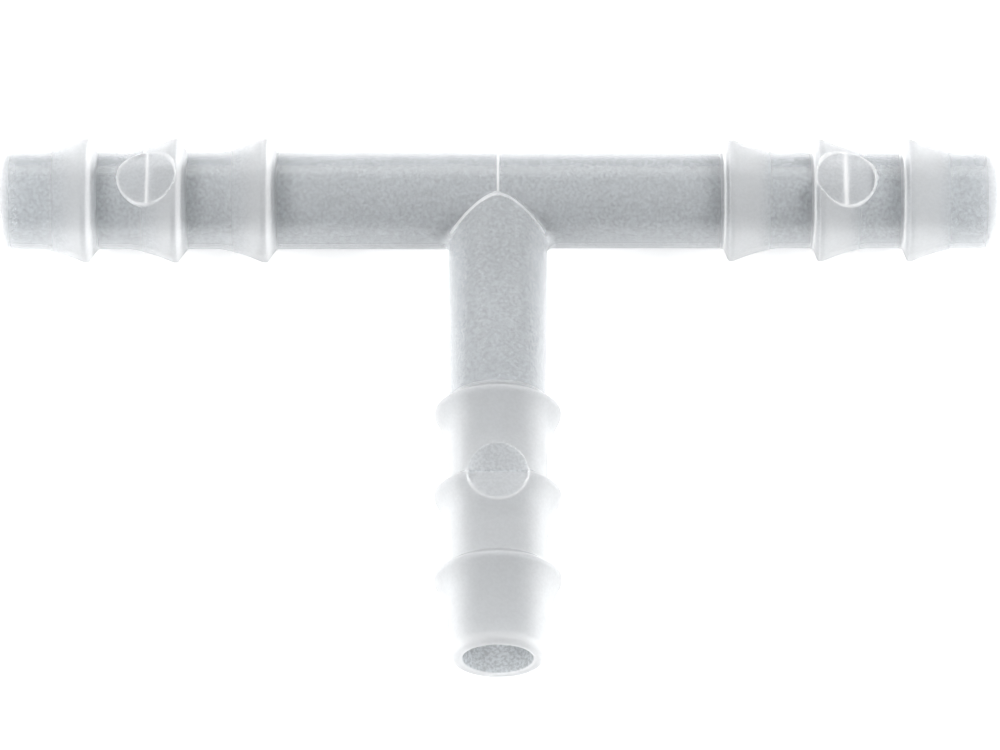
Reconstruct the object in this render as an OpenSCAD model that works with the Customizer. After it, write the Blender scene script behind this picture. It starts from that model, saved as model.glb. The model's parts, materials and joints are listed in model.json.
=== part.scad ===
// Barbed tee for soft hose: a straight run with a branch at right angles,
// three barbs on each of the three tails, and one bore through all of them.
//
// Origin: where the run's axis meets the branch's axis.
// +X points along the run to the right, the branch points along -Y, +Z is up.
// The tee is one moulding. It is divided here at flat planes across its arms,
// into the junction and, on each arm, a stem, three barbs and a nose.

/* [Reach] */
// Length of the straight run, from tip to tip
run_length = 80; // [70:1:120]
// Distance from the run's axis to the tip of the branch
branch_reach = 40.5; // [34:0.5:60]
// Distance from the origin to the flat ends of the junction
junction_reach = 7.5; // [6:0.5:10]

/* [Stems and bores] */
// Diameter of the plain stem on the run
run_stem_d = 7.9; // [7.9:0.1:8.4]
// Diameter of the plain stem on the branch, a little under the run's
branch_stem_d = 7.8; // [7.2:0.1:7.8]
// Diameter of the bore along the run
run_bore_d = 5.5; // [5.5:0.1:6]
// Diameter of the bore down the branch, a little under the run's
branch_bore_d = 5.4; // [4.6:0.1:5.4]

/* [Barbs] */
// Diameter over the crests of the barbs
crest_d = 10; // [9:0.1:11]
// Distance from one crest to the next
barb_pitch = 7.2; // [5.6:0.1:8.4]
// Length of the sloping face that a hose rides up
ramp_length = 3.35; // [2.4:0.05:4.2]
// Slope of that face where it leaves the stem, in degrees
ramp_start_angle = 10; // [0:1:15]
// Length of the narrow flat on top of a crest
crest_land = 0.4; // [0.2:0.1:0.8]
// Length of the steep face behind a crest, which keeps the hose on
back_length = 0.75; // [0.2:0.05:1]

/* [Noses] */
// Plain length from a tip to the first sloping face
nose_length = 3.3; // [1.5:0.1:5]
// Length of the rounding at a tip
nose_round_length = 0.9; // [0.3:0.1:1.2]
// Width of the flat ring that is left around the bore at a tip
tip_flat = 0.1; // [0.05:0.05:0.5]

/* [Hidden] */

// which barb of a tail, counted from the junction
inner = 0;
middle = 1;
outer = 2;
barbs = 3;

barb_length = back_length + crest_land + ramp_length;
// from the back of the innermost barb to the tip
tail_length = (barbs - 1) * barb_pitch + barb_length + nose_length;

natural_plastic = [0.86, 0.88, 0.88];
ramp_steps = 8;      // straight pieces in a sloping face
nose_steps = 6;      // straight pieces in the rounding of a nose
past_end = 1;        // how far the bore cutters reach past the junction
$fn = 96;

function arm_reach(arm) = arm == "branch" ? branch_reach : run_length / 2;
function stem_r(arm) = (arm == "branch" ? branch_stem_d : run_stem_d) / 2;
function bore_r(arm) = (arm == "branch" ? branch_bore_d : run_bore_d) / 2;

// distance from the origin to the back of a barb
function barb_start(arm, barb) = arm_reach(arm) - tail_length + barb * barb_pitch;

// height of the sloping face above the stem, a parabola that leaves the stem at
// ramp_start_angle and is at full height after ramp_length
function ramp_height(u, full) =
    tan(ramp_start_angle) * u
    + (full - tan(ramp_start_angle) * ramp_length) * pow(u / ramp_length, 2);

// The outlines below are lists of [radius, distance from the origin].

// steep back, flat crest, then the sloping face down to the stem
function barb_outline(arm, start) = concat(
    [[stem_r(arm), start]],
    [[crest_d / 2, start + back_length]],
    [
        for (step = [ramp_steps : -1 : 0])
            let (u = ramp_length * step / ramp_steps)
            [
                stem_r(arm) + ramp_height(u, crest_d / 2 - stem_r(arm)),
                start + barb_length - u
            ]
    ]
);

// a quarter of an ellipse from the stem's side to the flat ring at the tip
function nose_outline(arm) =
    let (
        tip = arm_reach(arm),
        depth = stem_r(arm) - bore_r(arm) - tip_flat
    )
    concat(
        [[stem_r(arm), tip - nose_length]],
        [
            for (step = [0 : nose_steps])
                let (angle = 90 * step / nose_steps)
                [
                    stem_r(arm) - depth * (1 - cos(angle)),
                    tip - nose_round_length * (1 - sin(angle))
                ]
        ]
    );

// turns a shape built along +Z so that it lies along an arm
module on_arm(arm) {
    rotate(arm == "left" ? [0, -90, 0] : arm == "right" ? [0, 90, 0] : [90, 0, 0])
        children();
}

// a ring around an arm's bore, with the given outline outside
module ring(arm, outline) {
    last = len(outline) - 1;
    on_arm(arm)
        rotate_extrude()
            polygon(concat(
                [[bore_r(arm), outline[0][1]]],
                outline,
                [[bore_r(arm), outline[last][1]]]
            ));
}

// plain tube from the junction to the innermost barb
module stem(arm) {
    ring(arm, [
        [stem_r(arm), junction_reach],
        [stem_r(arm), barb_start(arm, inner)]
    ]);
}

// one barb, and the plain neck from it to the next barb
module barb_and_neck(arm, barb) {
    ring(arm, concat(
        barb_outline(arm, barb_start(arm, barb)),
        [[stem_r(arm), barb_start(arm, barb + 1)]]
    ));
}

// the barb next to the nose
module outer_barb(arm) {
    ring(arm, barb_outline(arm, barb_start(arm, outer)));
}

// plain end with a rounded lip
module nose(arm) {
    ring(arm, nose_outline(arm));
}

module junction() {
    color(natural_plastic)
        difference() {
            union() {
                rotate([0, 90, 0])
                    cylinder(d = run_stem_d, h = 2 * junction_reach, center = true);
                rotate([90, 0, 0])
                    cylinder(d = branch_stem_d, h = junction_reach);
            }
            rotate([0, 90, 0])
                cylinder(d = run_bore_d, h = 2 * (junction_reach + past_end), center = true);
            rotate([90, 0, 0])
                cylinder(d = branch_bore_d, h = junction_reach + past_end);
        }
}

module left_stem() { color(natural_plastic) stem("left"); }
module left_inner_barb() { color(natural_plastic) barb_and_neck("left", inner); }
module left_middle_barb() { color(natural_plastic) barb_and_neck("left", middle); }
module left_outer_barb() { color(natural_plastic) outer_barb("left"); }
module left_nose() { color(natural_plastic) nose("left"); }

module right_stem() { color(natural_plastic) stem("right"); }
module right_inner_barb() { color(natural_plastic) barb_and_neck("right", inner); }
module right_middle_barb() { color(natural_plastic) barb_and_neck("right", middle); }
module right_outer_barb() { color(natural_plastic) outer_barb("right"); }
module right_nose() { color(natural_plastic) nose("right"); }

module branch_stem() { color(natural_plastic) stem("branch"); }
module branch_inner_barb() { color(natural_plastic) barb_and_neck("branch", inner); }
module branch_middle_barb() { color(natural_plastic) barb_and_neck("branch", middle); }
module branch_outer_barb() { color(natural_plastic) outer_barb("branch"); }
module branch_nose() { color(natural_plastic) nose("branch"); }

junction();
left_stem();
left_inner_barb();
left_middle_barb();
left_outer_barb();
left_nose();
right_stem();
right_inner_barb();
right_middle_barb();
right_outer_barb();
right_nose();
branch_stem();
branch_inner_barb();
branch_middle_barb();
branch_outer_barb();
branch_nose();
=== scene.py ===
import json
import bmesh
import bpy
import mathutils
import numpy as np
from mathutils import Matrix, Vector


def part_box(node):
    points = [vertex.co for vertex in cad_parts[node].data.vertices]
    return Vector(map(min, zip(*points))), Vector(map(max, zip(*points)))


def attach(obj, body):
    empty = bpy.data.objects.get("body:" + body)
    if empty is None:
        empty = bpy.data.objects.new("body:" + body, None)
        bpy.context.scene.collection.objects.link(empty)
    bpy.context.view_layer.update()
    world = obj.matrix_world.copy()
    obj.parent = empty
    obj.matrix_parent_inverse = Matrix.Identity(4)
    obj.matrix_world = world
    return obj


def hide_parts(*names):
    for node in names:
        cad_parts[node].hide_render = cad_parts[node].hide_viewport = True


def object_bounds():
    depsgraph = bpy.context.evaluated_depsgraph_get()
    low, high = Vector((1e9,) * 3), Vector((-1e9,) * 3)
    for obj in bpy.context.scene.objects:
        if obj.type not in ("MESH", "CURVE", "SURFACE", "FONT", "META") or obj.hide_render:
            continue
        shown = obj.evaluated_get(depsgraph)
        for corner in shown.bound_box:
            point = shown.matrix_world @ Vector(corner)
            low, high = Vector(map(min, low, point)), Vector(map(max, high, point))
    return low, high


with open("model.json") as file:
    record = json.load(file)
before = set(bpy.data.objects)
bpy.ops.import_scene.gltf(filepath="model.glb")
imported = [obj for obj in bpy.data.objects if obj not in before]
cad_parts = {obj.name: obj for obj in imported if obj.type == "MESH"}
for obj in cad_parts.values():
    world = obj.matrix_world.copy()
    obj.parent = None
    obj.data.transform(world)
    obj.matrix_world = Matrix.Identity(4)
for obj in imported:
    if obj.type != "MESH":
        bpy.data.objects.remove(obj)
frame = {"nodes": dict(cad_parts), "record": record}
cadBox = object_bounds()
print("frame loaded:", len(frame["nodes"]), "nodes")

mm = 0.001
mounts = {mount["name"]: mount for mount in frame["record"]["mounts"]}


def nodeBox(name):
    # lowest and highest corner of a CAD node, in millimetres
    low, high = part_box(name)
    return np.array(low) / mm, np.array(high) / mm


cameraSettings = {
    "place": (0.16, -230.5, 425.9),  # mm from the junction
    "tilt": 26.76,  # degrees away from straight down
    "lens": 216.4,
    "sensor": 36.0,
}


def makeCamera(settings):
    # looks down on the tee from the branch's side, turned about X only
    data = bpy.data.cameras.new("camera")
    data.lens = settings["lens"]
    data.sensor_width = settings["sensor"]
    data.clip_start = 0.01
    data.clip_end = 20
    camera = bpy.data.objects.new("camera", data)
    camera.location = np.array(settings["place"]) * mm
    camera.rotation_euler = (np.radians(settings["tilt"]), 0, 0)
    bpy.context.scene.collection.objects.link(camera)
    bpy.context.scene.camera = camera


# the shape of the moulding: all lengths in mm, all angles in degrees
moulding = {
    "backLength": 0.75,  # steep face behind a crest
    "backFoot": {"left": 0.0, "right": 0.33, "branch": 0.0},  # how much of it is plain stem
    "crestLand": 0.4,
    "rampStart": 10.0,  # slope of a ramp where it leaves the stem
    "edgeRound": 0.13,  # half-width over which edges are eased
    "noseRound": 0.9,
    "tipFlat": 0.1,
    "boreLip": 0.35,  # rounding between a tip's flat and its bore
    "mismatch": 0.009,  # half of the difference between the left and right cavity
    "mismatchWidth": 0.24,  # length over which it comes in
    "seamHeight": 0.03,  # witness line round the run, between the two cavities
    "seamWidth": 0.06,
    "seamFade": (3, 14),  # begins this far past the branch, and takes this long to rise
    "partingHeight": 0.025,  # flash line along both sides of every arm
    "partingWidth": 0.07,
    "branchSquash": 0.95,  # height over width of the branch near the junction
    "squashEnd": (8.0, 16.0),
    "crotchFillet": (0.75, 0.95),  # left, right
    "junctionReach": 5.2,  # where the arms' even stations begin
    "boreReach": 3.4,  # where the bores turn towards their crossing
    "filletSteps": 7,
    "noseSteps": 12,
    "lipSteps": 5,
    "boreSteps": 16,
    "sample": 0.01,  # between the samples of an outline
    "weld": 0.0002,  # points closer than this become one
    "sharpAngle": 42.0,
    "pinWall": 0.1,  # over which the edge of a pin's mark drops
    "spacing": {  # wished distances between an arm's stations
        "stem": 0.9,
        "edge": 0.05,
        "growth": 0.5,  # of the distance from an edge, added to the above
        "ramp": 0.28,
        "pinMark": 0.12,
    },
}
# where each ejector pin stood: distance from the tip, height where its two ground faces
# meet, their slopes, how strong the painted highlight on its rim and on the line between the
# faces is, how much painted shade darkens the face nearer the junction, and how dark the painted
# shade line between the faces is
pinMarks = {
    "left": {
        "fromTip": 11.9, "radius": 2.33, "height": 3.78, "toTip": 0.0, "toJunction": 0.26,
        "rim": 0.8, "crease": 0.9, "creaseWidth": 0.15, "shade": 0.0, "darkLine": 0.0,
    },
    "right": {
        "fromTip": 12.15, "radius": 2.40, "height": 3.60, "toTip": 0.0, "toJunction": 0.26,
        "rim": 1.0, "crease": 1.0, "creaseWidth": 0.22, "shade": 0.0, "darkLine": 0.0,
    },
    "branch": {
        "fromTip": 14.35, "radius": 2.43, "height": 3.98, "toTip": 0.14, "toJunction": 0.14,
        "rim": 0.8, "crease": 0.0, "creaseWidth": 0.1, "shade": 0.25, "darkLine": 0.5,
    },
}


def nodeRadius(name, along):
    # furthest that a CAD node's points lie from the axis of its arm, in millimetres
    mesh = frame["nodes"][name].data
    points = np.empty(3 * len(mesh.vertices))
    mesh.vertices.foreach_get("co", points)
    across = np.delete(points.reshape(-1, 3), along, axis=1)
    return np.hypot(across[:, 0], across[:, 1]).max() / mm


def smoothStep(t):
    # 0 below 0, 1 above 1, and an S between
    t = np.clip(t, 0, 1)
    return t * t * (3 - 2 * t)


def armSizes(arm):
    # the lengths of one arm, read off the CAD nodes
    along, sign = (1, -1) if arm == "branch" else (0, -1 if arm == "left" else 1)

    def nearEnd(node):
        low, high = nodeBox(f"{arm}_{node}")
        return min(abs(low[along]), abs(high[along]))

    low, high = nodeBox(f"{arm}_nose")
    outerLow, outerHigh = nodeBox(f"{arm}_outer_barb")
    return {
        "stem": nodeRadius(f"{arm}_stem", along),
        "crest": nodeRadius(f"{arm}_outer_barb", along),
        "foot": moulding["backFoot"][arm],
        "bore": mounts["branch_bore" if arm == "branch" else "run_bore"]["dims"]["r_mm"],
        "starts": [nearEnd(f"{name}_barb") for name in ("inner", "middle", "outer")],
        "barbLength": outerHigh[along] - outerLow[along],
        "tip": max(abs(low[along]), abs(high[along])),
        "along": along,
        "sign": sign,
    }


def edgePlaces(sizes):
    # distances from the origin at which the outline turns
    back = moulding["backLength"]
    offsets = np.array([sizes["foot"], back, back + moulding["crestLand"]])
    return np.concatenate([start + offsets for start in sizes["starts"]])


def outerRadius(s, sizes):
    # stem radius, plus for each barb a straight back, a flat crest and a parabola
    # down to the stem, averaged over edgeRound so that no edge is sharp
    pastTip = 2
    fine = np.arange(0, sizes["tip"] + pastTip, moulding["sample"])
    height, foot = sizes["crest"] - sizes["stem"], sizes["foot"]
    rampLength = sizes["barbLength"] - moulding["backLength"] - moulding["crestLand"]
    slope = np.tan(np.radians(moulding["rampStart"]))
    radius = np.full_like(fine, sizes["stem"])
    for start in sizes["starts"]:
        rise = np.clip((fine - start - foot) / (moulding["backLength"] - foot), 0, 1) * height
        u = np.clip(start + sizes["barbLength"] - fine, 0, rampLength)
        ramp = slope * u + (height - slope * rampLength) * (u / rampLength) ** 2
        radius += np.minimum(rise, ramp)
    reach = int(moulding["edgeRound"] / moulding["sample"])
    kernel = np.hanning(2 * reach + 3)
    padded = np.pad(radius, reach + 1, mode="edge")
    return np.interp(s, fine, np.convolve(padded, kernel / kernel.sum(), mode="valid"))


def stations(sizes, mark):
    # distances along an arm whose spacing is the least of three wishes:
    # wide on plain stem, close near an edge, and even across a pin mark
    end = sizes["tip"] - moulding["noseRound"]
    s = np.arange(moulding["junctionReach"], end, moulding["sample"])
    spacing, pastRamp, pastMark = moulding["spacing"], 0.3, 0.2
    wish = np.full_like(s, spacing["stem"])
    for edge in edgePlaces(sizes):
        wish = np.minimum(wish, spacing["edge"] + spacing["growth"] * np.abs(s - edge))
    for start in sizes["starts"]:
        onRamp = (s > start) & (s < start + sizes["barbLength"] + pastRamp)
        wish = np.where(onRamp, np.minimum(wish, spacing["ramp"]), wish)
    markPlace = sizes["tip"] - mark["fromTip"]
    onMark = np.abs(s - markPlace) < mark["radius"] + pastMark
    wish = np.where(onMark, np.minimum(wish, spacing["pinMark"]), wish)
    count = np.cumsum(1 / wish) * moulding["sample"]
    total = int(np.ceil(count[-1]))
    return np.interp(np.linspace(count[0], count[-1], total), count, s)


def spread(start, end, step):
    # even numbers from start to end, no further apart than step
    return np.linspace(start, end, int(np.ceil((end - start) / step)) + 1)


turn, fineTurn = 3.2, 1.6  # degrees between neighbouring lines round an arm
partingAngles = np.array([-fineTurn, -0.7, 0, 0.7, fineTurn])
# levels up one side of the branch, from its lowest line to its highest, finer near the top
ladder = np.unique(np.round(np.concatenate([
    spread(-90, -turn, turn), partingAngles, spread(turn, 48, turn), spread(48, 90, fineTurn),
]), 6))


def partingBump(z):
    # a low rounded ridge where z is 0
    return moulding["partingHeight"] * np.exp(-((z / moulding["partingWidth"]) ** 2))


class Junction:
    # the curves where the three arms meet, found once and used by all of them
    def __init__(self, run, branch):
        self.runStem = run["stem"]
        self.branchTop = branch["stem"] * moulding["branchSquash"]
        # height and half-width of the branch at each level of the ladder
        self.z = self.branchTop * np.sin(np.radians(ladder))
        self.x = branch["stem"] * np.cos(np.radians(ladder))
        # angles round the run from the branch's highest line, over the top and down the back
        middleRadius = run["stem"] * self.runScale(0)
        self.top = np.degrees(np.arcsin(self.branchTop / middleRadius))
        far = np.concatenate([
            [self.top], spread(self.top + turn, 132, fineTurn), spread(132, 180 - turn, turn),
            180 + partingAngles, spread(180 + turn, 360 - self.top, turn),
        ])
        self.far = np.radians(np.unique(np.round(far, 6))[1:-1])
        # angles round a run arm: first up the ladder, then over the top and back
        self.round = np.concatenate([np.arcsin(self.z / middleRadius), self.far])
        # where the two bores cross
        self.boreZ = branch["bore"] * np.sin(np.radians(ladder))
        self.boreX = branch["bore"] * np.cos(np.radians(ladder))
        self.boreY = np.sqrt(run["bore"] ** 2 - self.boreZ**2)
        near = np.arcsin(self.boreZ / run["bore"])
        top = np.radians(self.top)
        share = (self.far - top) / (2 * np.pi - 2 * top)
        self.boreRound = np.concatenate([near, near[-1] + share * 2 * (np.pi - near[-1])])

    def runScale(self, x):
        # the left cavity is a little larger than the right one
        side = 2 * smoothStep(x / moulding["mismatchWidth"] + 0.5) - 1
        return 1 - moulding["mismatch"] * (1 + side)

    def seam(self, x, angle):
        # the ridge at x = 0, fading out before it reaches the branch
        away = np.degrees(angle)
        away = np.minimum(away, 360 - away)
        begin, rise = moulding["seamFade"]
        fade = smoothStep((away - self.top - begin) / rise)
        return moulding["seamHeight"] * fade * np.exp(-((x / moulding["seamWidth"]) ** 2))

    def mitre(self, side):
        # for each level: half-widths of run and branch there, and the fillet's radius,
        # which shrinks to nothing at the top and bottom
        radius = self.runStem * self.runScale(side * self.x)
        runHalf = np.sqrt(radius**2 - self.z**2) + partingBump(self.z)
        branchHalf = self.x + partingBump(self.z)
        largest = moulding["crotchFillet"][0 if side < 0 else 1]
        fillet = largest * np.clip(1 - (self.z / self.branchTop) ** 2, 0, 1) ** 0.75
        return runHalf, branchHalf, fillet


def runShell(s, angle, side, sizes, junction):
    # outer points of a run arm at distance s, angle a measured from the branch's side:
    # x = s, y = -r cos a, z = r sin a, with a ridge that ends flush with the crests
    x = side * s + 0 * angle
    radius = outerRadius(s, sizes) * junction.runScale(x) + junction.seam(x, angle)
    z = radius * np.sin(angle)
    y = -radius * np.cos(angle)
    y = y + np.sign(y) * partingBump(z) * smoothStep(np.abs(y))
    y = np.clip(y, -sizes["crest"], sizes["crest"])
    return np.stack([x, y, z], -1)


def pressPin(points, arm, sizes):
    # inside the pin's circle the height becomes that of its two ground faces:
    # z = height + toTip u towards the tip, height - toJunction u towards the junction
    mark = pinMarks[arm]
    along = points[..., sizes["along"]] * sizes["sign"]
    across = points[..., 1 - sizes["along"]]
    u = along - (sizes["tip"] - mark["fromTip"])
    face = mark["height"] + np.where(u > 0, mark["toTip"] * u, -mark["toJunction"] * u)
    inside = smoothStep((mark["radius"] - np.hypot(u, across)) / moulding["pinWall"] + 0.5)
    inside = inside * (points[..., 2] > sizes["bore"])
    points[..., 2] += (face - points[..., 2]) * inside
    return points


def noseAndBore(sizes, shrink):
    # outline past the last station: a quarter ellipse, the flat tip, a quarter circle for
    # the lip and the straight bore back to boreReach; inward goes from 0 outside to 1 inside
    stem, bore, tip = sizes["stem"] * shrink, sizes["bore"], sizes["tip"]
    depth = stem - bore - moulding["tipFlat"] - moulding["boreLip"]
    t = np.radians(np.linspace(0, 90, moulding["noseSteps"]))
    noseS = tip - moulding["noseRound"] * (1 - np.sin(t))
    noseR = stem - depth * (1 - np.cos(t))
    lip = moulding["boreLip"]
    t = np.radians(np.linspace(0, 90, moulding["lipSteps"]))
    lipS = tip - lip * (1 - np.cos(t))
    lipR = bore + lip * (1 - np.sin(t))
    boreS = np.linspace(tip - lip, moulding["boreReach"], moulding["boreSteps"])[1:]
    boreR = np.full_like(boreS, bore)
    s, radius = np.concatenate([noseS, lipS, boreS]), np.concatenate([noseR, lipR, boreR])
    inward = np.concatenate([0 * noseS, np.linspace(0, 1, len(lipS)), 0 * boreS + 1])
    return s, radius, inward


def gridFaces(rows, columns, first, closed):
    # quads between neighbouring rows, whose columns join up if closed
    steps = columns if closed else columns - 1
    i, j = np.meshgrid(np.arange(rows - 1), np.arange(steps), indexing="ij")
    k = (j + 1) % columns
    below, above = i * columns, (i + 1) * columns
    return np.stack([below + j, below + k, above + k, above + j], -1).reshape(-1, 4) + first


# where the rows between a fillet and junctionReach lie, and between the bores' crossing
# and boreReach
jointShares = {
    "run": (0, 0.006, 0.012, 0.018, 0.026, 0.04, 0.07, 0.12, 0.2, 0.32, 0.46, 0.62, 0.8),
    "branch": (0, 0.05, 0.12, 0.22, 0.36, 0.55, 0.78),
    "bore": (0.75, 0.5, 0.25, 0),
}


def between(start, end, shares):
    # one row for each share t: start + (end - start) t
    return start + (end - start) * np.array(shares)[:, None]


def runArm(arm, sizes, junction):
    # rows of points from the junction out to the tip and back down the bore, where
    # x = side s, y = -r cos a, z = r sin a, and the end rows follow the branch
    side = sizes["sign"]
    runHalf, branchHalf, fillet = junction.mitre(side)
    angle, boreAngle = junction.round, junction.boreRound
    behind = np.zeros(len(junction.far))
    start = np.concatenate([branchHalf + fillet, behind])
    s = between(start, moulding["junctionReach"], jointShares["run"])
    joint = runShell(s, angle, side, sizes, junction)
    joint[0, : len(runHalf)] = np.stack([side * (branchHalf + fillet), -runHalf, junction.z], -1)
    s = stations(sizes, pinMarks[arm])[:, None]
    shell = pressPin(runShell(s, angle, side, sizes, junction), arm, sizes)
    outline = noseAndBore(sizes, 1 - moulding["mismatch"] * (1 + side))
    s, radius, inward = (column[:, None] for column in outline)
    a = angle + (boreAngle - angle) * inward
    end = np.stack([side * s + 0 * a, -radius * np.cos(a), radius * np.sin(a)], -1)
    half = np.concatenate([junction.boreX, behind])
    s = between(half, moulding["boreReach"], jointShares["bore"])
    a = boreAngle + 0 * s
    bore = np.stack([side * s, -sizes["bore"] * np.cos(a), sizes["bore"] * np.sin(a)], -1)
    return np.concatenate([joint, shell, end, bore])


def upAndDown(right, left):
    # values up the levels of the right side, then down those of the left side
    return np.concatenate([right, left[::-1][1:-1]])


def branchArm(sizes, junction):
    # the same for the branch, where x = r cos a, y = -s, z = squash r sin a, and squash
    # goes from branchSquash to 1 between the two ends of squashEnd
    runR, halfR, filletR = junction.mitre(1)
    runL, halfL, filletL = junction.mitre(-1)
    angle = np.radians(upAndDown(ladder, 180 - ladder))
    flat, (squashStart, squashEnd) = moulding["branchSquash"], moulding["squashEnd"]

    def shell(s):
        squash = flat + (1 - flat) * smoothStep((s - squashStart) / (squashEnd - squashStart))
        radius = outerRadius(s, sizes)
        x, z = radius * np.cos(angle), radius * squash * np.sin(angle)
        x = x + np.sign(x) * partingBump(z) * smoothStep(np.abs(x))
        x = np.clip(x, -sizes["crest"], sizes["crest"])
        return np.stack([x, -s + 0 * x, z], -1)

    start = upAndDown(runR + filletR, runL + filletL)
    joint = shell(between(start, moulding["junctionReach"], jointShares["branch"]))
    joint[0] = np.stack([upAndDown(halfR, -halfL), -start, upAndDown(junction.z, junction.z)], -1)
    tail = pressPin(shell(stations(sizes, pinMarks["branch"])[:, None]), "branch", sizes)
    s, radius, _ = (column[:, None] for column in noseAndBore(sizes, 1))
    end = np.stack([radius * np.cos(angle), -s + 0 * angle, radius * np.sin(angle)], -1)
    half = upAndDown(junction.boreY, junction.boreY)
    s = between(half, moulding["boreReach"], jointShares["bore"])
    a = angle + 0 * s
    bore = np.stack([sizes["bore"] * np.cos(a), -s, sizes["bore"] * np.sin(a)], -1)
    return np.concatenate([joint, tail, end, bore])


def crotch(side, junction):
    # at each level a quarter circle from the run's side to the branch's side:
    # x = side (branchHalf + fillet (1 - cos a)), y = -(runHalf + fillet (1 - sin a))
    runHalf, branchHalf, fillet = (a[:, None] for a in junction.mitre(side))
    a = np.radians(90 * (1 - np.linspace(0, 1, moulding["filletSteps"] + 1)))
    x = side * (branchHalf + fillet * (1 - np.cos(a)))
    y = -(runHalf + fillet * (1 - np.sin(a)))
    return np.stack([x, y, junction.z[:, None] + 0 * x], -1)


def line(distance, width):
    # 1 on a line, fading to 0 across its half-width: exp(-(distance / width) squared)
    return np.exp(-((distance / width) ** 2))


# where and how much the look of the surface changes, in mm, and from 0 to 1
marking = {
    "crestLines": {  # painted highlight along each crest: how strong, half-width, and how far down the back
        "left": {"highlight": 0.75, "width": 0.2, "downBack": 0.22},
        "right": {"highlight": 0.7, "width": 0.11, "downBack": 0.38},
        "branch": {"highlight": 0.3, "width": 0.13, "downBack": 0.0},
    },
    "halfWidth": {"tip": 0.42, "rim": 0.09, "seam": 0.09, "crease": 0.1, "darkLine": 0.12},
    # painted highlight round each tip
    "tipHighlight": 0.6,
    "creaseHighlight": (0.9, 0.6),  # painted highlight on the crease where run and branch meet, left and right of the branch
    "rampCloud": {"left": 0.9, "right": 0.4},  # height over the stem where it is full
    "pinCloud": 0.6,
    "boreSkin": 0.1,  # this far outside a bore still counts as in it
    "branchHalf": 6,  # the branch lies within this of its axis
    "besideCrest": 0.2,  # a back's look stops this far short of its crest, on both sides
    "backFade": 0.1,
    "cloudFade": 0.3,
    "tipInset": 0.4,  # a tip's white ring is centred this far in
    "pastRim": 0.5,
    "seamEnd": -1.1,  # y at which the seam meets the branch's crease
    "creaseReach": 4.2,  # the crease lies within this of the branch's axis
    "creaseFoot": 1,  # height at which the crease begins to show
    "creaseSlope": 0.9,
}


def tailMarks(arm, sizes, rise, points):
    # edge (painted highlights), barb, back and shade (painted shade) at each point, as if all
    # points were on this arm
    x, y, z = points
    mark, crestLine, halfWidth = pinMarks[arm], marking["crestLines"][arm], marking["halfWidth"]
    s, across = (y * sizes["sign"], x) if arm == "branch" else (x * sizes["sign"], y)
    starts = np.array(sizes["starts"])[:, None]
    # painted highlights along the crests and round the tip
    crests = starts + moulding["backLength"] - crestLine["downBack"]
    crest = line(s - crests, crestLine["width"]).max(axis=0) * crestLine["highlight"]
    tip = marking["tipHighlight"] * line(s - sizes["tip"] + marking["tipInset"], halfWidth["tip"])
    # the pin mark's rim, faces and the line between them: painted highlights on the rim and the
    # line, and on the branch painted shade on the face nearer the junction and a painted shade
    # line between the faces
    u = s - (sizes["tip"] - mark["fromTip"])
    away = np.hypot(u, across)
    nearFace = (z > sizes["bore"]) & (away < mark["radius"] + marking["pastRim"])
    inFace = nearFace & (away < mark["radius"])
    rim = line(away - mark["radius"], halfWidth["rim"]) * nearFace * mark["rim"]
    crease = line(u, mark["creaseWidth"]) * inFace * mark["crease"]
    darkLine = mark["darkLine"] * line(u, halfWidth["darkLine"])
    shade = inFace * (mark["shade"] * (u < 0) + darkLine)
    if arm == "branch":  # cloudy all the way from its first barb to the tip
        cloud = smoothStep((s - sizes["starts"][0]) / marking["cloudFade"] + 1)
        steep = 0 * s
    else:
        middle = starts + 0.5 * (sizes["foot"] + moulding["backLength"] - marking["besideCrest"])
        half = 0.5 * (moulding["backLength"] - sizes["foot"])
        steep = smoothStep((half - np.abs(s - middle)) / marking["backFade"] + 0.5).max(axis=0)
        steep = np.where(inFace, 0, steep)
        cloud = smoothStep(rise / marking["rampCloud"][arm]) * (1 - steep)
    edge = np.maximum.reduce([np.where(inFace, 0, crest), tip, rim, crease])
    return np.stack([edge, np.where(inFace, marking["pinCloud"], cloud), steep, shade])


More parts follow.
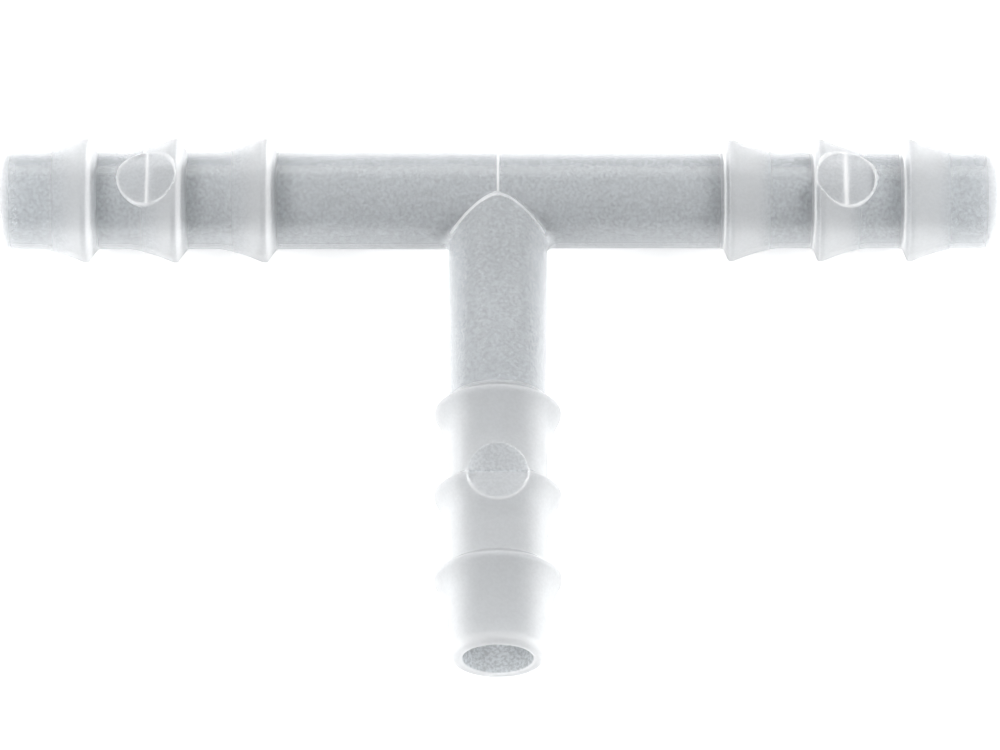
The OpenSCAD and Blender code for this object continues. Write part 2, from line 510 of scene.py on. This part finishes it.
def markSurface(mesh, arms, junction):
    # four values at each point: bore is 1 in the bore, whose darker colour is painted shade, and
    # also carries the painted shade of the branch's pin face; barb rises to 1 as a ramp climbs,
    # back is 1 on a steep back, and edge is 1 along edges, rims and creases, as painted
    # highlights, and along the seam as a white line
    points = np.empty(3 * len(mesh.vertices))
    mesh.vertices.foreach_get("co", points)
    x, y, z = points = points.reshape(-1, 3).T / mm
    run, branch = arms["left"], arms["branch"]
    inRunBore = np.hypot(y, z) < run["bore"] + marking["boreSkin"]
    inBranchBore = (np.hypot(x, z) < branch["bore"] + marking["boreSkin"]) & (y < 0)
    bore = inRunBore | inBranchBore
    onBranch = (np.abs(x) < marking["branchHalf"]) & (y < -run["stem"])
    rise = outerRadius(np.abs(x), run) - run["stem"]
    values = np.zeros((4, len(x)))
    for arm, sizes in arms.items():
        onArm = onBranch if arm == "branch" else ~onBranch & (x * sizes["sign"] > 0)
        values = np.where(onArm, tailMarks(arm, sizes, rise, points), values)
    edge, barb, back, shade = values
    # a white line along the seam, and a painted highlight on the crease where run and branch meet
    halfWidth = marking["halfWidth"]
    seam = line(x, halfWidth["seam"]) * (y > marking["seamEnd"]) * ~onBranch
    upper = junction.z[::-1][: np.count_nonzero(junction.z >= 0)]
    meetY = -np.sqrt(junction.runStem**2 - upper**2)
    meetY = np.interp(np.abs(x), junction.x[::-1][: len(upper)], meetY)
    crease = line((y - meetY) / np.hypot(1, marking["creaseSlope"]), halfWidth["crease"])
    highlight = np.where(x < 0, *marking["creaseHighlight"])
    crease = crease * smoothStep(z - marking["creaseFoot"]) * highlight
    crease = crease * (np.abs(x) < marking["creaseReach"])
    edge = np.where(bore, 0, np.maximum.reduce([edge, seam, crease]))
    # the bore layer holds the bore's painted shade and the pin face's painted shade, the edge
    # layer the painted highlights and the seam's white line
    layers = {"bore": np.maximum(bore, shade), "barb": barb, "back": back, "edge": edge}
    for name, layerValues in layers.items():
        layer = mesh.attributes.new(name, "FLOAT", "POINT")
        layer.data.foreach_set("value", layerValues.astype(np.float32))


def makeMoulding():
    left, right, branch = armSizes("left"), armSizes("right"), armSizes("branch")
    junction = Junction(left, branch)
    points, faces, count = [], [], 0
    patches = [
        (runArm("left", left, junction), True),
        (runArm("right", right, junction), True),
        (branchArm(branch, junction), True),
        (crotch(-1, junction), False),
        (crotch(1, junction), False),
    ]
    for grid, closed in patches:
        rows, columns = grid.shape[:2]
        points.append(grid.reshape(-1, 3))
        faces.append(gridFaces(rows, columns, count, closed))
        count += rows * columns
    points, faces = np.concatenate(points) * mm, np.concatenate(faces)
    mesh = bpy.data.meshes.new("tee_moulding")
    mesh.from_pydata(points.tolist(), [], faces.tolist())
    work = bmesh.new()
    work.from_mesh(mesh)
    bmesh.ops.remove_doubles(work, verts=work.verts, dist=moulding["weld"] * mm)
    bmesh.ops.recalc_face_normals(work, faces=work.faces)
    volume = work.calc_volume(signed=True) / mm**3
    work.to_mesh(mesh)
    work.free()
    edgeUses = np.empty(len(mesh.loops), dtype=np.int32)
    mesh.loops.foreach_get("edge_index", edgeUses)
    openEdges = np.count_nonzero(np.bincount(edgeUses) != 2)
    print("moulding:", len(mesh.vertices), "points,", len(mesh.polygons), "faces,",
          openEdges, "open edges,", round(volume, 1), "mm3")
    mesh.shade_smooth()
    mesh.set_sharp_from_angle(angle=np.radians(moulding["sharpAngle"]))
    markSurface(mesh, {"left": left, "right": right, "branch": branch}, junction)
    piece = bpy.data.objects.new("tee_moulding", mesh)
    bpy.context.scene.collection.objects.link(piece)
    return piece


# the look of the plastic; where there are five values, they are for the stems outside,
# a ramp, a steep back, the bore, whose darker colour is painted shade, and the edges, whose paler
# colour is painted highlight along crests, tips, rims and creases and a white line along the seam
plastic = {
    "colour": ((0.87, 0.895, 0.92, 1), (0.885, 0.895, 0.905, 1), (0.88, 0.895, 0.91, 1),
               (0.55, 0.58, 0.605, 1), (0.95, 0.95, 0.95, 1)),
    "transmission": (0.74, 0.72, 0.86, 0.45, 0.5),
    "roughness": (0.25, 0.4, 0.3, 0.5, 0.35),
    "grainHeight": (0.028, 0.006, 0.0, 0.025, 0.0),  # mm
    "speckle": (0.2, 0.06, 0.1, 0.4, 0.0),  # how much darker it is between light specks
    "speckRange": (0.35, 0.65),  # of the grain's height, from between specks to on them
    "grainSize": 0.24,  # mm
    "grainDetail": 4.0,
    "ior": 1.49,
}


def newMaterial(name):
    material = bpy.data.materials.new(name)
    material.use_nodes = True
    tree = material.node_tree
    return material, tree, tree.nodes["Principled BSDF"]


def addNode(tree, kind, **values):
    node = tree.nodes.new(kind)
    for key, value in values.items():
        if key in node.inputs:
            node.inputs[key].default_value = value
        else:
            setattr(node, key, value)
    return node


def layered(tree, masks, values, scale=1):
    # the first value, then each of the others laid over it by its mask
    flat = not isinstance(values[0], tuple)
    found = None
    for mask, value in zip(masks, values[1:]):
        mix = addNode(tree, "ShaderNodeMix", data_type="FLOAT" if flat else "RGBA")
        first, second, result = (2, 3, 0) if flat else (6, 7, 2)
        tree.links.new(mask, mix.inputs[0])
        if found is None:
            mix.inputs[first].default_value = values[0] * scale if flat else values[0]
        else:
            tree.links.new(found, mix.inputs[first])
        mix.inputs[second].default_value = value * scale if flat else value
        found = mix.outputs[result]
    return found


def plasticMaterial(settings):
    material, tree, shader = newMaterial("natural_plastic")
    place = addNode(tree, "ShaderNodeTexCoord")
    masks = [addNode(tree, "ShaderNodeAttribute", attribute_name=name).outputs["Fac"]
             for name in ("barb", "back", "bore", "edge")]
    grain = addNode(tree, "ShaderNodeTexNoise", Scale=1 / (settings["grainSize"] * mm),
                    Detail=settings["grainDetail"])
    tree.links.new(place.outputs["Object"], grain.inputs["Vector"])
    bump = addNode(tree, "ShaderNodeBump", Strength=1.0)
    tree.links.new(layered(tree, masks, settings["grainHeight"], mm), bump.inputs["Distance"])
    tree.links.new(grain.outputs["Fac"], bump.inputs["Height"])
    tree.links.new(bump.outputs["Normal"], shader.inputs["Normal"])
    # light specks where the grain is high
    speck = addNode(tree, "ShaderNodeMapRange", interpolation_type="SMOOTHSTEP")
    tree.links.new(grain.outputs["Fac"], speck.inputs["Value"])
    speck.inputs["From Min"].default_value = settings["speckRange"][0]
    speck.inputs["From Max"].default_value = settings["speckRange"][1]
    speck.inputs["To Max"].default_value = 1
    tree.links.new(layered(tree, masks, [1 - value for value in settings["speckle"]]),
                   speck.inputs["To Min"])
    shade = addNode(tree, "ShaderNodeVectorMath", operation="SCALE")
    tree.links.new(layered(tree, masks, settings["colour"]), shade.inputs[0])
    tree.links.new(speck.outputs["Result"], shade.inputs["Scale"])
    tree.links.new(shade.outputs[0], shader.inputs["Base Color"])
    for key, socket in (("transmission", "Transmission Weight"), ("roughness", "Roughness")):
        tree.links.new(layered(tree, masks, settings[key]), shader.inputs[socket])
    shader.inputs["IOR"].default_value = settings["ior"]
    return material


studio = {
    "floorSize": 3.0,
    "floorColour": (0.9, 0.9, 0.9, 1),
    "floorRoughness": 0.9,
    "floorGap": 0.02,  # mm under the crests
    "glow": 0.62,
    "glowReach": (0.07, 0.22),  # m from the middle: full inside the first, none past the second
    "world": 0.25,
    "worldColour": (0.93, 0.97, 1.0, 1),
    "lights": {  # place in m, width and height in m, power in W, whether seen in gloss
        "left": ((-0.46, -0.04, 0.22), (0.3, 0.18), 4.5, False),
        "right": ((0.46, -0.04, 0.22), (0.3, 0.18), 4.4, False),
        "back": ((0.0, 0.37, 0.33), (0.9, 0.22), 1.6, True),
    },
}


def makeFloor(settings):
    half = settings["floorSize"] / 2
    z = cadBox[0][2] - settings["floorGap"] * mm
    corners = [(-half, -half, z), (half, -half, z), (half, half, z), (-half, half, z)]
    mesh = bpy.data.meshes.new("floor")
    mesh.from_pydata(corners, [], [(0, 1, 2, 3)])
    floor = bpy.data.objects.new("floor", mesh)
    bpy.context.scene.collection.objects.link(floor)
    material, tree, shader = newMaterial("floor")
    shader.inputs["Base Color"].default_value = settings["floorColour"]
    shader.inputs["Roughness"].default_value = settings["floorRoughness"]
    shader.inputs["Emission Color"].default_value = (1, 1, 1, 1)
    place = addNode(tree, "ShaderNodeTexCoord")
    distance = addNode(tree, "ShaderNodeVectorMath", operation="LENGTH")
    tree.links.new(place.outputs["Object"], distance.inputs[0])
    glow = addNode(tree, "ShaderNodeMapRange", interpolation_type="SMOOTHSTEP")
    tree.links.new(distance.outputs["Value"], glow.inputs["Value"])
    glow.inputs["From Min"].default_value = settings["glowReach"][0]
    glow.inputs["From Max"].default_value = settings["glowReach"][1]
    glow.inputs["To Min"].default_value = settings["glow"]
    glow.inputs["To Max"].default_value = 0
    tree.links.new(glow.outputs["Result"], shader.inputs["Emission Strength"])
    mesh.materials.append(material)


def makeLights(settings):
    world = bpy.data.worlds.new("studio")
    world.use_nodes = True
    world.node_tree.nodes["Background"].inputs["Color"].default_value = settings["worldColour"]
    world.node_tree.nodes["Background"].inputs["Strength"].default_value = settings["world"]
    bpy.context.scene.world = world
    for name, (place, size, power, glossy) in settings["lights"].items():
        data = bpy.data.lights.new(f"{name}_light", "AREA")
        data.shape = "RECTANGLE"
        data.size, data.size_y = size
        data.energy = power
        light = bpy.data.objects.new(f"{name}_light", data)
        light.visible_transmission = False
        light.visible_glossy = glossy
        light.location = place
        light.rotation_euler = mathutils.Vector(place).to_track_quat("Z", "Y").to_euler()
        bpy.context.scene.collection.objects.link(light)


makeCamera(cameraSettings)
print("camera placed")
tee = makeMoulding()
tee.data.materials.append(plasticMaterial(plastic))
print("plastic made")
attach(tee, "root")
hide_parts(*frame["nodes"])
makeFloor(studio)
makeLights(studio)
print("floor and", len(studio["lights"]), "lights placed")
bpy.context.scene.view_settings.view_transform = "Standard"
